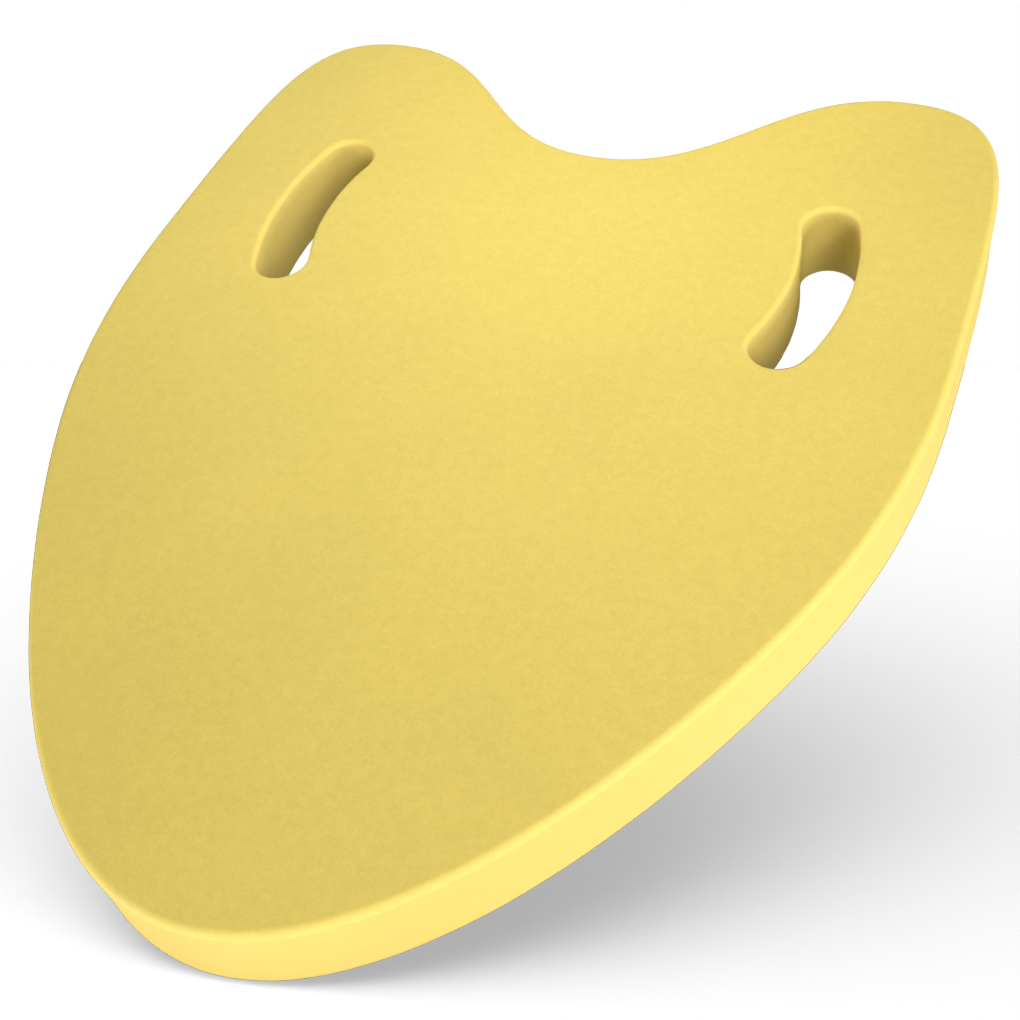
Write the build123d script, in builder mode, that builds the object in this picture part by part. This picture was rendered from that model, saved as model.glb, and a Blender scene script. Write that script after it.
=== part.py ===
from build123d import *
import os

# Kickboard float: a heart-shaped foam board for swimming, with a hand slot in each lobe.
# Two face sheets are bonded to a thicker foam core, and the laminated blank is then cut
# to the outline, slotted, and rounded over along every edge that a hand touches.
#
# Frame: the board lies flat. Z = 0 is its underside and Z points up through it. Y runs
# along its middle, from the nose (-Y) to the two lobes (+Y), and X is across it. The
# origin is under the centre of its length and width. Sizes are in millimetres.

# Overall size.
board_width = 300.0        # across the shoulders
board_length = 380.0       # from the nose tip to the tops of the lobes
board_thickness = 30.0

# Lay-up.
sheet_thickness = 4.0      # each face sheet; the core makes up the rest

# Outline. A pull is how far a curve keeps its first direction before it bends away.
notch_depth = 56.0         # chest notch, below the tops of the lobes
notch_pull = 50.0
lobe_inset = 44.0          # top of a lobe, in from the board's side
lobe_pull = 49.0           # lobe top towards the notch
shoulder_drop = 128.5      # widest place, below the tops of the lobes
shoulder_pull_up = 90.0
shoulder_pull_down = 57.5
flank_inset = 37.8         # point where the flank's two curves meet, in from the board's side
flank_height = 104.2       # the same point, above the nose tip
flank_lean = 27.9          # degrees that the flank leans in there
flank_pull_up = 57.4
flank_pull_down = 42.6
nose_pull = 50.2

# Hand slots: a curved slot in each lobe, bowed towards the board's side.
grip_width = 20.0
grip_radius = 95.0         # along the slot's middle line
grip_arc = 37.5            # degrees that the middle line spans
grip_tilt = -2.0           # degrees, about the arc's centre; negative is towards the nose
grip_margin = 40.0         # outer wall to the board's widest place
grip_setback = 108.5       # middle of the slot, below the tops of the lobes

# Round-overs.
edge_round = 2.5           # outline, on both faces
mouth_round = 2.0          # mouths of the hand slots, on both faces

half_width = board_width / 2
nose_y = -board_length / 2
lobe_y = board_length / 2
notch_y = lobe_y - notch_depth
lobe_x = half_width - lobe_inset
shoulder_y = lobe_y - shoulder_drop
core_thickness = board_thickness - 2 * sheet_thickness

# Where the flank's two curves meet, and which way the flank runs there.
flank_point = Vector(half_width - flank_inset, nose_y + flank_height)
flank_along = Vector(0, -1).rotate(Axis.Z, -flank_lean)

# The middle of the right-hand slot, and the centre that its arc is struck from.
grip_middle = Vector(half_width - grip_margin - grip_width / 2, lobe_y - grip_setback)
grip_centre = grip_middle - Vector(grip_radius, 0).rotate(Axis.Z, grip_tilt)

# The plan that all three layers share.
with BuildSketch() as board_plan:
    with BuildLine():
        Bezier(
            (0, notch_y),
            (notch_pull, notch_y),
            (lobe_x - lobe_pull, lobe_y),
            (lobe_x, lobe_y),
        )
        Bezier(
            (lobe_x, lobe_y),
            (half_width, lobe_y),
            (half_width, shoulder_y + shoulder_pull_up),
            (half_width, shoulder_y),
        )
        Bezier(
            (half_width, shoulder_y),
            (half_width, shoulder_y - shoulder_pull_down),
            flank_point - flank_along * flank_pull_up,
            flank_point,
        )
        Bezier(
            flank_point,
            flank_point + flank_along * flank_pull_down,
            (nose_pull, nose_y),
            (0, nose_y),
        )
        mirror(about=Plane.YZ)
    make_face()
    with BuildLine(mode=Mode.PRIVATE):
        grip_line = CenterArc(grip_centre, grip_radius, grip_tilt - grip_arc / 2, grip_arc)
    right_grip = SlotArc(grip_line, grip_width, mode=Mode.SUBTRACT)
    mirror(right_grip, about=Plane.YZ, mode=Mode.SUBTRACT)

with BuildPart() as foam_core:
    with BuildSketch(Plane.XY.offset(sheet_thickness)):
        add(board_plan.sketch)
    extrude(amount=core_thickness)

with BuildPart() as top_sheet:
    with BuildSketch(Plane.XY.offset(board_thickness - sheet_thickness)):
        add(board_plan.sketch)
    extrude(amount=sheet_thickness)
    fillet(faces().sort_by(Axis.Z)[-1].outer_wire().edges(), radius=edge_round)
    fillet(faces().sort_by(Axis.Z)[-1].inner_wires().edges(), radius=mouth_round)

with BuildPart() as bottom_sheet:
    with BuildSketch(Plane.XY):
        add(board_plan.sketch)
    extrude(amount=sheet_thickness)
    fillet(faces().sort_by(Axis.Z)[0].outer_wire().edges(), radius=edge_round)
    fillet(faces().sort_by(Axis.Z)[0].inner_wires().edges(), radius=mouth_round)

foam_core.part.label = "foam_core"
top_sheet.part.label = "top_sheet"
bottom_sheet.part.label = "bottom_sheet"

os.makedirs("parts", exist_ok=True)
export_step(foam_core.part, "parts/foam_core.step")
export_step(top_sheet.part, "parts/top_sheet.step")
export_step(bottom_sheet.part, "parts/bottom_sheet.step")
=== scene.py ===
import math

import bpy
import numpy as np
from mathutils import Matrix, Vector
from mathutils.geometry import delaunay_2d_cdt


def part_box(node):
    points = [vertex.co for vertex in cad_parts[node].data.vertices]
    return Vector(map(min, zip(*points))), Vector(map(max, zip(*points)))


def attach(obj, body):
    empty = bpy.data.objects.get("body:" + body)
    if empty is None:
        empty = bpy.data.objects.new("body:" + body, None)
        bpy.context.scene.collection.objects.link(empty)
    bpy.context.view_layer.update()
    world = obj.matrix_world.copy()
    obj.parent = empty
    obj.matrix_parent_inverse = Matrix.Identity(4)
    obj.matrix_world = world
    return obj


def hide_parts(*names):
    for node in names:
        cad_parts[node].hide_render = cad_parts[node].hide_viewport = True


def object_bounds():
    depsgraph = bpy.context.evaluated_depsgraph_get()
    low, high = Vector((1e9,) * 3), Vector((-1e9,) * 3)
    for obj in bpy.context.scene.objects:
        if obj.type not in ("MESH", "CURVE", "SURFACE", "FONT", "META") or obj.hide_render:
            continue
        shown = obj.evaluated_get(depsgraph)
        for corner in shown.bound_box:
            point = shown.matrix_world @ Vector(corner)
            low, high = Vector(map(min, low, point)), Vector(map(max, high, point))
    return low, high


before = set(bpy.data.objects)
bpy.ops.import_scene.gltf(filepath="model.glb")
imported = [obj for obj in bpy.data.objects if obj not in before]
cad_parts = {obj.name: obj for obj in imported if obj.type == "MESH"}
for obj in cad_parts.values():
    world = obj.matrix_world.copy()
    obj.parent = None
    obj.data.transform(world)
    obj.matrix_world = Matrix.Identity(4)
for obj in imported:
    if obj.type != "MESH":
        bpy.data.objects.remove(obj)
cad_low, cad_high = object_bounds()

# A foam kickboard. Lengths are in metres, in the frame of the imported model: the board lies
# flat, its nose is at -Y, its two lobes are at +Y, and its upper face looks along +Z.

MM = 0.001

# ---------------------------------------------------------------- sizes, as in the model

core_low, core_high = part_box("foam_core")
half_width = cad_high.x
lobe_y = cad_high.y
nose_y = cad_low.y
thickness = cad_high.z - cad_low.z
lower_joint = core_low.z          # bottom sheet against core
upper_joint = core_high.z         # core against top sheet

notch_y = lobe_y - 56 * MM
shoulder_y = lobe_y - 128.5 * MM
lobe_x = half_width - 44 * MM
flank_point = np.array([half_width - 37.8 * MM, nose_y + 104.2 * MM])
flank_lean = math.radians(27.9)

# How far the handle at each joint of the outline's curves reaches along the curve's direction there.
notch_pull = 50 * MM
lobe_pull = 49 * MM
shoulder_pull_up = 90 * MM
shoulder_pull_down = 57.5 * MM
flank_pull_up = 57.4 * MM
flank_pull_down = 42.6 * MM
nose_pull = 50.2 * MM

slot_width = 20 * MM
slot_radius = 95 * MM
slot_half_arc = math.radians(18.75)
slot_tilt = math.radians(-2.0)
slot_middle = np.array([half_width - 40 * MM - slot_width / 2, lobe_y - 108.5 * MM])

edge_round = 2.5 * MM
mouth_round = 2.0 * MM

# ---------------------------------------------------------------- plan curves

CURVE_SAMPLES = 900
ARC_SAMPLES = 300
CAP_SAMPLES = 200


def bezier(controls, t):
    """Bernstein curve by de Casteljau's rule: neighbours are blended by t until one point is left."""
    layer = np.repeat(np.asarray(controls, float)[:, None, :], t.size, axis=1)
    while len(layer) > 1:
        layer = layer[:-1] * (1 - t)[:, None] + layer[1:] * t[:, None]
    return layer[0]


def even_steps(loop, count):
    """A closed loop resampled at equal steps of its own length, by linear interpolation."""
    closed = np.vstack([loop, loop[:1]])
    run = np.r_[0, np.cumsum(np.linalg.norm(np.diff(closed, axis=0), axis=1))]
    at = np.arange(count) / count * run[-1]
    return np.c_[np.interp(at, run, closed[:, 0]), np.interp(at, run, closed[:, 1])]


def outward(loop):
    """Unit normals out of the foam: the central difference along the loop, turned a quarter turn clockwise."""
    along = np.roll(loop, -1, axis=0) - np.roll(loop, 1, axis=0)
    along /= np.linalg.norm(along, axis=1)[:, None]
    return np.c_[along[:, 1], -along[:, 0]]


def board_outline(count):
    """Counter-clockwise plan: the notch, lobe and two flank curves of one half, and their mirror image."""
    t = np.linspace(0, 1, CURVE_SAMPLES, endpoint=False)
    along = np.array([-math.sin(flank_lean), -math.cos(flank_lean)])
    lobe_top, shoulder = (lobe_x, lobe_y), (half_width, shoulder_y)
    curves = (
        [(0, notch_y), (notch_pull, notch_y), (lobe_x - lobe_pull, lobe_y), lobe_top],
        [lobe_top, (half_width, lobe_y), (half_width, shoulder_y + shoulder_pull_up), shoulder],
        [
            shoulder,
            (half_width, shoulder_y - shoulder_pull_down),
            flank_point - flank_pull_up * along,
            flank_point,
        ],
        [flank_point, flank_point + flank_pull_down * along, (nose_pull, nose_y), (0, nose_y)],
    )
    right = np.vstack([bezier(curve, t) for curve in curves])
    left = right[1:][::-1] * [-1, 1]
    clockwise = np.vstack([right, [[0, nose_y]], left])
    return even_steps(clockwise[::-1], count)


def arc(radius, angle):
    """Points at these angles on a circle round the origin."""
    return radius * np.c_[np.cos(angle), np.sin(angle)]


def slot_outline(side, count):
    """Clockwise plan of a hand slot.

    The slot's middle arc is moved out by half the width both ways, with a half circle at each end.
    """
    a = np.linspace(-slot_half_arc, slot_half_arc, ARC_SAMPLES)
    cap = np.linspace(0, math.pi, CAP_SAMPLES)[1:-1]
    r = slot_width / 2
    loop = np.vstack(
        [
            arc(slot_radius + r, a),
            arc(slot_radius, a[-1:]) + arc(r, a[-1] + cap),
            arc(slot_radius - r, a[::-1]),
            arc(slot_radius, a[:1]) + arc(r, a[0] + math.pi + cap),
        ]
    )
    c, s = math.cos(slot_tilt), math.sin(slot_tilt)
    loop = loop @ np.array([[c, s], [-s, c]])
    loop = loop + slot_middle - slot_radius * np.array([c, s])
    loop = loop[::-1] if side > 0 else loop * [-1, 1]
    return even_steps(loop, count)


# ---------------------------------------------------------------- surfaces

OUTLINE_STEPS = 840
SLOT_STEPS = 240
FILL_STEP = 4.5 * MM
WALL_ROWS = 5
TURN_ROWS = 12
CORE_ROWS = 12
SHELF_ROWS = (0.4, 1.0, 2.0, 3.5, 5.5)  # millimetres in from the end of the round

HOLLOW = 0.25 * MM
SWELL_HIGH = 0.06 * MM
SWELL_SPAN = 0.1
SWELL_FADE = 0.025
WAVER = ((7, 0.045, 0.3), (19, 0.03, 1.9), (43, 0.02, 4.1), (71, 0.012, 2.2))  # waves, millimetres, start

outline = board_outline(OUTLINE_STEPS)
slots = [slot_outline(1, SLOT_STEPS), slot_outline(-1, SLOT_STEPS)]
loops = [outline, *slots]


def waver(loop):
    """How far the cut strays from its line: four sine waves round the loop, about 0.1 mm high together at most."""
    turn = np.arange(len(loop)) / len(loop) * 2 * math.pi
    return MM * sum(high * np.sin(count * turn + start) for count, high, start in WAVER)


def wall_inset(z):
    """The die squeezes the foam, so the cut wall springs back hollow: a squared sine arch over the height."""
    return HOLLOW * np.sin(math.pi * np.clip(z / thickness, 0, 1)) ** 2


def carry(loop, profile, first):
    """A profile of (inset, height) pairs carried round a loop.

    Point (i, j) is loop point i moved against its outward normal by profile inset j, at height j.
    Returns the points row by row, the quads between neighbouring rows, and the rows' indices.
    """
    count, rows = len(loop), len(profile)
    normal = outward(loop)
    stray = waver(loop)
    inset = profile[:, 0][:, None] - stray[None, :]
    flat = loop[None] - normal[None] * inset[..., None]
    points = np.concatenate([flat, np.broadcast_to(profile[:, 1][:, None, None], (rows, count, 1))], axis=2)
    index = first + np.arange(rows * count).reshape(rows, count)
    ahead = np.roll(index, -1, axis=1)
    quads = np.stack([index[:-1], ahead[:-1], ahead[1:], index[1:]], axis=-1).reshape(-1, 4)
    return points.reshape(-1, 3), quads, index


def inside(points, loop):
    """Even-odd rule: a point is inside when a line to its right crosses the loop an odd number of times."""
    a, b = loop, np.roll(loop, -1, axis=0)
    x, y = points[:, 0][:, None], points[:, 1][:, None]
    spans = (a[:, 1][None] > y) != (b[:, 1][None] > y)
    rise = np.where(b[:, 1] == a[:, 1], 1e-12, b[:, 1] - a[:, 1])
    cross = a[:, 0][None] + (y - a[:, 1][None]) / rise[None] * (b[:, 0] - a[:, 0])[None]
    return (spans & (x < cross)).sum(axis=1) % 2 == 1


def nearest(points, loop):
    """Distance from each point to the closest point of a loop."""
    return np.sqrt(((points[:, None] - loop[None]) ** 2).sum(axis=2)).min(axis=1)


def fill(edges):
    """The flat middle between closed edges: a triangular lattice of points, joined to the edges by Delaunay's rule.

    Returns the lattice points, and triangles that count the edges' points first and the lattice's after them.
    """
    low, high = edges[0].min(axis=0), edges[0].max(axis=0)
    rows = np.arange(low[1], high[1], FILL_STEP * math.sqrt(3) / 2)
    across = np.arange(low[0], high[0], FILL_STEP)
    x, y = np.meshgrid(across, rows)
    x = x + (np.arange(len(rows)) % 2)[:, None] * FILL_STEP / 2
    lattice = np.c_[x.ravel(), y.ravel()]
    lattice = lattice[inside(lattice, edges[0])]
    for edge in edges[1:]:
        lattice = lattice[~inside(lattice, edge)]
    for edge in edges:
        lattice = lattice[nearest(lattice, edge) > FILL_STEP * 0.6]
    points = np.vstack([*edges, lattice])
    starts = np.cumsum([0] + [len(edge) for edge in edges])
    borders = [
        (int(start + i), int(start + (i + 1) % len(edge)))
        for start, edge in zip(starts, edges)
        for i in range(len(edge))
    ]
    _, _, triangles, origin, _, _ = delaunay_2d_cdt([Vector(p) for p in points], borders, [], 0, 1e-9)
    source = np.array([o[0] for o in origin])
    triangles = source[np.array([list(t) for t in triangles])]
    middle = points[triangles].mean(axis=1)
    keep = inside(middle, edges[0])
    for edge in edges[1:]:
        keep &= ~inside(middle, edge)
    return lattice, triangles[keep]


def make_piece(name, points, faces, cut, sharp):
    """Puts the arrays into a mesh.

    Faces have three or four corners. The cut array says how far each point is cut foam, from 0 to 1, and an edge is
    sharp when both of its points are marked so.
    """
    mesh = bpy.data.meshes.new(name)
    mesh.from_pydata(points.tolist(), [], [tuple(f) for block in faces for f in block.tolist()])
    mesh.validate()
    mesh.shade_smooth()
    mark = mesh.attributes.new("cut_foam", "FLOAT", "POINT")
    mark.data.foreach_set("value", cut.astype(np.float32))
    ends = np.empty(len(mesh.edges) * 2, int)
    mesh.edges.foreach_get("vertices", ends)
    ends = ends.reshape(-1, 2)
    hard = mesh.attributes.new("sharp_edge", "BOOLEAN", "EDGE")
    hard.data.foreach_set("value", sharp[ends].all(axis=1))
    piece = bpy.data.objects.new(name, mesh)
    bpy.context.scene.collection.objects.link(piece)
    return piece


def swell(points, clear):
    """Slow rise and fall of a face that was never quite flat.

    Three crossed sine waves, less than 0.15 mm high together, that fade out by a smooth step towards the edges.
    """
    x, y = points[:, 0] / SWELL_SPAN, points[:, 1] / SWELL_SPAN
    wave = np.sin(2.1 * x + 1.3 * y + 0.4)
    wave = wave + 0.8 * np.sin(-1.4 * x + 3.2 * y + 2.0)
    wave = wave + 0.6 * np.sin(4.3 * x + 0.7 * y + 5.1)
    fade = np.clip(clear / SWELL_FADE, 0, 1)
    return SWELL_HIGH * wave * fade * fade * (3 - 2 * fade)


def face_profile(radius):
    """Half section of a sheet's edge: up the wall, round a quarter circle, and in along the face."""
    wall = np.linspace(upper_joint, thickness - radius, WALL_ROWS)
    turn = np.linspace(0, math.pi / 2, TURN_ROWS + 1)[1:]
    shelf = radius + np.array(SHELF_ROWS) * MM
    start = wall_inset(thickness - radius)
    inset = np.r_[wall_inset(wall), start + (radius - start) * (1 - np.cos(turn)), shelf]
    height = np.r_[wall, thickness - radius + radius * np.sin(turn), np.full(len(shelf), thickness)]
    cut = np.r_[np.ones(len(wall)), np.cos(turn) ** 1.5, np.zeros(len(shelf))]
    return np.c_[inset, height], cut


def face_sheet(name, under):
    """A face sheet: a rounded edge carried round each loop, the face between, and the flat bonded to the core."""
    blocks, faces, cuts, seams, rims, first = [], [], [], [], [], 0
    for loop, radius in zip(loops, (edge_round, mouth_round, mouth_round)):
        profile, cut = face_profile(radius)
        points, quads, index = carry(loop, profile, first)
        blocks.append(points)
        faces.append(quads)
        cuts.append(np.repeat(cut, len(loop)))
        seams.append(index[0])
        rims.append(index[-1])
        first += len(points)
    points = np.vstack(blocks)
    cut = np.concatenate(cuts)
    for borders, height, outside in ((rims, thickness, True), (seams, upper_joint, False)):
        lattice, triangles = fill([points[b][:, :2] for b in borders])
        ids = np.concatenate([*borders, len(points) + np.arange(len(lattice))])
        triangles = ids[triangles]
        faces.append(triangles if outside else triangles[:, ::-1])
        points = np.vstack([points, np.c_[lattice, np.full(len(lattice), height)]])
        cut = np.r_[cut, np.full(len(lattice), 0.0 if outside else 1.0)]
    top = points[:, 2] > thickness - 0.01 * MM
    clear = np.min([nearest(points[top][:, :2], loop) for loop in loops], axis=0)
    points[top, 2] += swell(points[top] * (-1 if under else 1), clear)
    sharp = np.zeros(len(points), bool)
    sharp[np.concatenate(seams)] = True
    if under:
        points[:, 2] = thickness - points[:, 2]
        faces = [block[:, ::-1] for block in faces]
    return make_piece(name, points, faces, cut, sharp)


def core_slab(name):
    """The core: a straight wall carried round each loop, closed by a flat above and one below."""
    height = np.linspace(lower_joint, upper_joint, CORE_ROWS)
    profile = np.c_[wall_inset(height), height]
    blocks, faces, lows, highs, first = [], [], [], [], 0
    for loop in loops:
        points, quads, index = carry(loop, profile, first)
        blocks.append(points)
        faces.append(quads)
        lows.append(index[0])
        highs.append(index[-1])
        first += len(points)
    points = np.vstack(blocks)
    for borders, level, up in ((highs, upper_joint, True), (lows, lower_joint, False)):
        lattice, triangles = fill([points[b][:, :2] for b in borders])
        ids = np.concatenate([*borders, len(points) + np.arange(len(lattice))])
        triangles = ids[triangles]
        faces.append(triangles if up else triangles[:, ::-1])
        points = np.vstack([points, np.c_[lattice, np.full(len(lattice), level)]])
    sharp = np.zeros(len(points), bool)
    sharp[np.concatenate(highs + lows)] = True
    return make_piece(name, points, faces, np.ones(len(points)), sharp)


# ---------------------------------------------------------------- materials


class Value:
    """A number on its way through a shader. Python's operators add the Math nodes."""

    def __init__(self, shader, socket):
        self.shader, self.socket = shader, socket

    def _math(self, operation, a, b):
        return self.shader.node("ShaderNodeMath", {"operation": operation}, {0: a, 1: b})

    def __add__(self, other):
        return self._math("ADD", self, other)

    def __radd__(self, other):
        return self._math("ADD", other, self)

    def __sub__(self, other):
        return self._math("SUBTRACT", self, other)

    def __rsub__(self, other):
        return self._math("SUBTRACT", other, self)

    def __mul__(self, other):
        return self._math("MULTIPLY", self, other)


class Shader:
    """The node tree of one material."""

    def __init__(self, name):
        self.material = bpy.data.materials.new(name)
        self.material.use_nodes = True
        self.tree = self.material.node_tree
        self.surface = self.tree.nodes["Principled BSDF"]

    def node(self, kind, settings, inputs, output=0):
        """Adds a node: its settings first, then the values or links of its sockets."""
        made = self.tree.nodes.new(kind)
        for key, value in settings.items():
            setattr(made, key, value)
        self.connect(made, inputs)
        return Value(self, made.outputs[output])

    def connect(self, made, inputs):
        for key, value in inputs.items():
            if isinstance(value, Value):
                self.tree.links.new(value.socket, made.inputs[key])
            else:
                made.inputs[key].default_value = value

    def noise(self, place, scale, detail, roughness):
        inputs = {"Vector": place, "Scale": scale, "Detail": detail, "Roughness": roughness}
        return self.node("ShaderNodeTexNoise", {}, inputs)

    def mix(self, factor, a, b):
        """Colour a turning into colour b."""
        return self.node("ShaderNodeMix", {"data_type": "RGBA"}, {0: factor, 6: a, 7: b}, 2)

    def smooth(self, value, low, high):
        """0 below low, 1 above high, and a smooth step between."""
        settings = {"interpolation_type": "SMOOTHSTEP"}
        return self.node("ShaderNodeMapRange", settings, {"Value": value, "From Min": low, "From Max": high})


def linear(r, g, b):
    """An sRGB colour, 0 to 255, as the linear values that shaders take."""
    c = np.array([r, g, b]) / 255
    c = np.where(c <= 0.04045, c / 12.92, ((c + 0.055) / 1.055) ** 2.4)
    return (*[float(v) for v in c], 1.0)


def closed_cell_foam(name):
    """Yellow closed-cell foam: a face with a pressed grain of fine pits, and a smoother, slightly paler cut edge.

    The face's height is the sum of two noises and the distance to scattered points. The cut edge has only a
    weak copy of the finer noise.
    """
    sh = Shader(name)
    place = sh.node("ShaderNodeTexCoord", {}, {}, "Object")
    cut = sh.node("ShaderNodeAttribute", {"attribute_name": "cut_foam"}, {}, "Fac")
    grain = sh.noise(place, 900, 3.0, 0.62)
    mottle = sh.noise(place, 260, 3.0, 0.6)
    cloud = sh.noise(place, 14, 2.0, 0.5)
    scatter = {"Vector": place, "Scale": 1400, "Randomness": 1.0}
    pits = sh.node("ShaderNodeTexVoronoi", {"feature": "F1"}, scatter, "Distance")
    speckle = sh.smooth(grain * 0.55 + mottle * 0.45, 0.3, 0.7)
    bright = sh.mix(speckle, linear(234, 209, 101), linear(243, 218, 110))
    dull = sh.mix(speckle, linear(230, 206, 100), linear(239, 215, 109))
    face = sh.mix(sh.smooth(cloud, 0.35, 0.65), dull, bright)
    edge = sh.mix(speckle, linear(245, 218, 117), linear(248, 221, 121))
    colour = sh.mix(cut, face, edge)
    height = (1 - cut) * (grain * 0.6 + pits * 0.5 + mottle * 0.5) + cut * grain * 0.25
    bump = sh.node("ShaderNodeBump", {}, {"Height": height, "Strength": 0.35, "Distance": 0.00012}, "Normal")
    rough = 0.62 + grain * 0.12 - cut * 0.06
    sh.connect(sh.surface, {"Base Color": colour, "Roughness": rough, "Normal": bump, "Specular IOR Level": 0.25})
    return sh.material


foam = closed_cell_foam("closed_cell_foam")
top = face_sheet("top_sheet_foam", under=False)
core = core_slab("core_foam_slab")
bottom = face_sheet("bottom_sheet_foam", under=True)
for piece, node, finish in (
    (top, "top_sheet", "face_foam"),
    (core, "foam_core", "core_foam"),
    (bottom, "bottom_sheet", "face_foam"),
):
    piece.data.materials.append(foam)
    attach(piece, "root")
    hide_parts(node)

# ---------------------------------------------------------------- camera

camera_right = Vector((0.91905, 0.37168, -0.13117))
camera_up = Vector((-0.21119, 0.74536, 0.63233))
camera_back = Vector((0.33279, -0.55344, 0.76351))
camera = bpy.data.objects.new("camera", bpy.data.cameras.new("camera"))
bpy.context.scene.collection.objects.link(camera)
camera.data.lens = 50
camera.data.sensor_width = 36
camera.data.clip_start = 0.01
camera_place = Vector((0.17863, -0.27765, 0.36065))
turn = Matrix((camera_right, camera_up, camera_back)).transposed()
camera.matrix_world = Matrix.Translation(camera_place) @ turn.to_4x4()
bpy.context.scene.camera = camera

# ---------------------------------------------------------------- studio

# The ground is level for the camera, which looks down at it by 15 degrees, so the board
# leans back on the tip of its nose.
pitch = math.radians(15)
ground_up = (camera_up * math.cos(pitch) + camera_back * math.sin(pitch)).normalized()
underside = np.c_[outline, np.full(len(outline), cad_low.z)]
ground_level = float((underside @ np.array(ground_up)).min())


def ground(radius, glow):
    """A pale disc that the nose rests on. It shows nothing but shadows, and from below it is clear."""
    a = np.linspace(0, 2 * math.pi, 97)[:-1]
    across = camera_right
    ahead = ground_up.cross(across).normalized()
    centre = ground_up * ground_level
    rim = np.cos(a)[:, None] * np.array(across) + np.sin(a)[:, None] * np.array(ahead)
    mesh = bpy.data.meshes.new("floor")
    mesh.from_pydata((rim * radius + np.array(centre)).tolist(), [], [list(range(len(a)))])
    floor = bpy.data.objects.new("floor", mesh)
    bpy.context.scene.collection.objects.link(floor)
    sh = Shader("studio_floor")
    sh.tree.nodes.remove(sh.surface)
    matt = sh.node("ShaderNodeBsdfDiffuse", {}, {"Color": (0.8, 0.8, 0.8, 1)})
    shine = sh.node("ShaderNodeEmission", {}, {"Strength": glow})
    lit = sh.node("ShaderNodeAddShader", {}, {0: matt, 1: shine})
    clear = sh.node("ShaderNodeBsdfTransparent", {}, {})
    behind = sh.node("ShaderNodeNewGeometry", {}, {}, "Backfacing")
    shown = sh.node("ShaderNodeMixShader", {}, {0: behind, 1: lit, 2: clear})
    sh.tree.links.new(shown.socket, sh.tree.nodes["Material Output"].inputs["Surface"])
    mesh.materials.append(sh.material)
    floor.is_shadow_catcher = True
    return floor


def soft_light(name, turn, lift, distance, size, power, aim):
    """A square soft light that looks at a point.

    Turn is in degrees round the point, 0 from the nose's side and 90 from +X. Lift is in degrees above it.
    """
    turn, lift = math.radians(turn), math.radians(lift)
    towards = Vector((math.sin(turn) * math.cos(lift), -math.cos(turn) * math.cos(lift), math.sin(lift)))
    lamp = bpy.data.lights.new(name, "AREA")
    lamp.size, lamp.energy = size, power
    stand = bpy.data.objects.new(name, lamp)
    bpy.context.scene.collection.objects.link(stand)
    stand.location = Vector(aim) + towards * distance
    stand.rotation_mode = "QUATERNION"
    stand.rotation_quaternion = towards.to_track_quat("Z", "Y")
    return stand


def light_only(lamp, piece, takes):
    """Lets a light reach only one piece, or every piece but that one, which then doesn't block it either."""
    group = bpy.data.collections.new(lamp.name + "_reach")
    group.objects.link(piece)
    lamp.light_linking.receiver_collection = group
    group.collection_objects[0].light_linking.link_state = "INCLUDE" if takes else "EXCLUDE"
    if not takes:
        lamp.light_linking.blocker_collection = group


floor = ground(radius=1.0, glow=0.14)
board_middle = (0, 0, thickness / 2)
for name, turn, lift, power in (
    ("nose_right", 50, 36, 7.5),
    ("right_low", 80, 8, 7.0),
    ("nose_left_low", 325, 6, 9.0),
    ("lobes_left", 225, 28, 3.6),
    ("lobes_right", 135, 28, 3.0),
):
    lamp = soft_light(name, turn, lift, distance=1.2, size=0.5, power=power, aim=board_middle)
    light_only(lamp, floor, takes=False)
lamp = soft_light("face_close", 190, 80, distance=0.26, size=0.2, power=0.30, aim=(0.0, 0.08, 0.0))
light_only(lamp, floor, takes=False)

# The floor's own light hangs over it, a little to the left and to the far side. It is wide, so the shadow is soft.
over = (ground_up - camera_right * 0.1 + ground_up.cross(camera_right) * 0.1).normalized()
over_turn = math.degrees(math.atan2(over.x, -over.y))
over_lift = math.degrees(math.asin(over.z))
lamp = soft_light("overhead", over_turn, over_lift, distance=1.3, size=2.6, power=14.0, aim=(0, -0.1, 0.0))
light_only(lamp, floor, takes=True)

# The surroundings are white for the camera and nearly dark for everything that they could light.
world = bpy.data.worlds.new("studio")
bpy.context.scene.world = world
world.use_nodes = True
nodes, links = world.node_tree.nodes, world.node_tree.links
seen = nodes.new("ShaderNodeLightPath").outputs["Is Camera Ray"]
strength = nodes.new("ShaderNodeMapRange")
links.new(seen, strength.inputs["Value"])
strength.inputs["To Min"].default_value = 0.04
strength.inputs["To Max"].default_value = 1.0
links.new(strength.outputs["Result"], nodes["Background"].inputs["Strength"])
nodes["Background"].inputs["Color"].default_value = (1, 1, 1, 1)

bpy.context.scene.view_settings.view_transform = "Standard"
bpy.context.scene.cycles.diffuse_bounces = 1
bpy.context.scene.cycles.glossy_bounces = 1
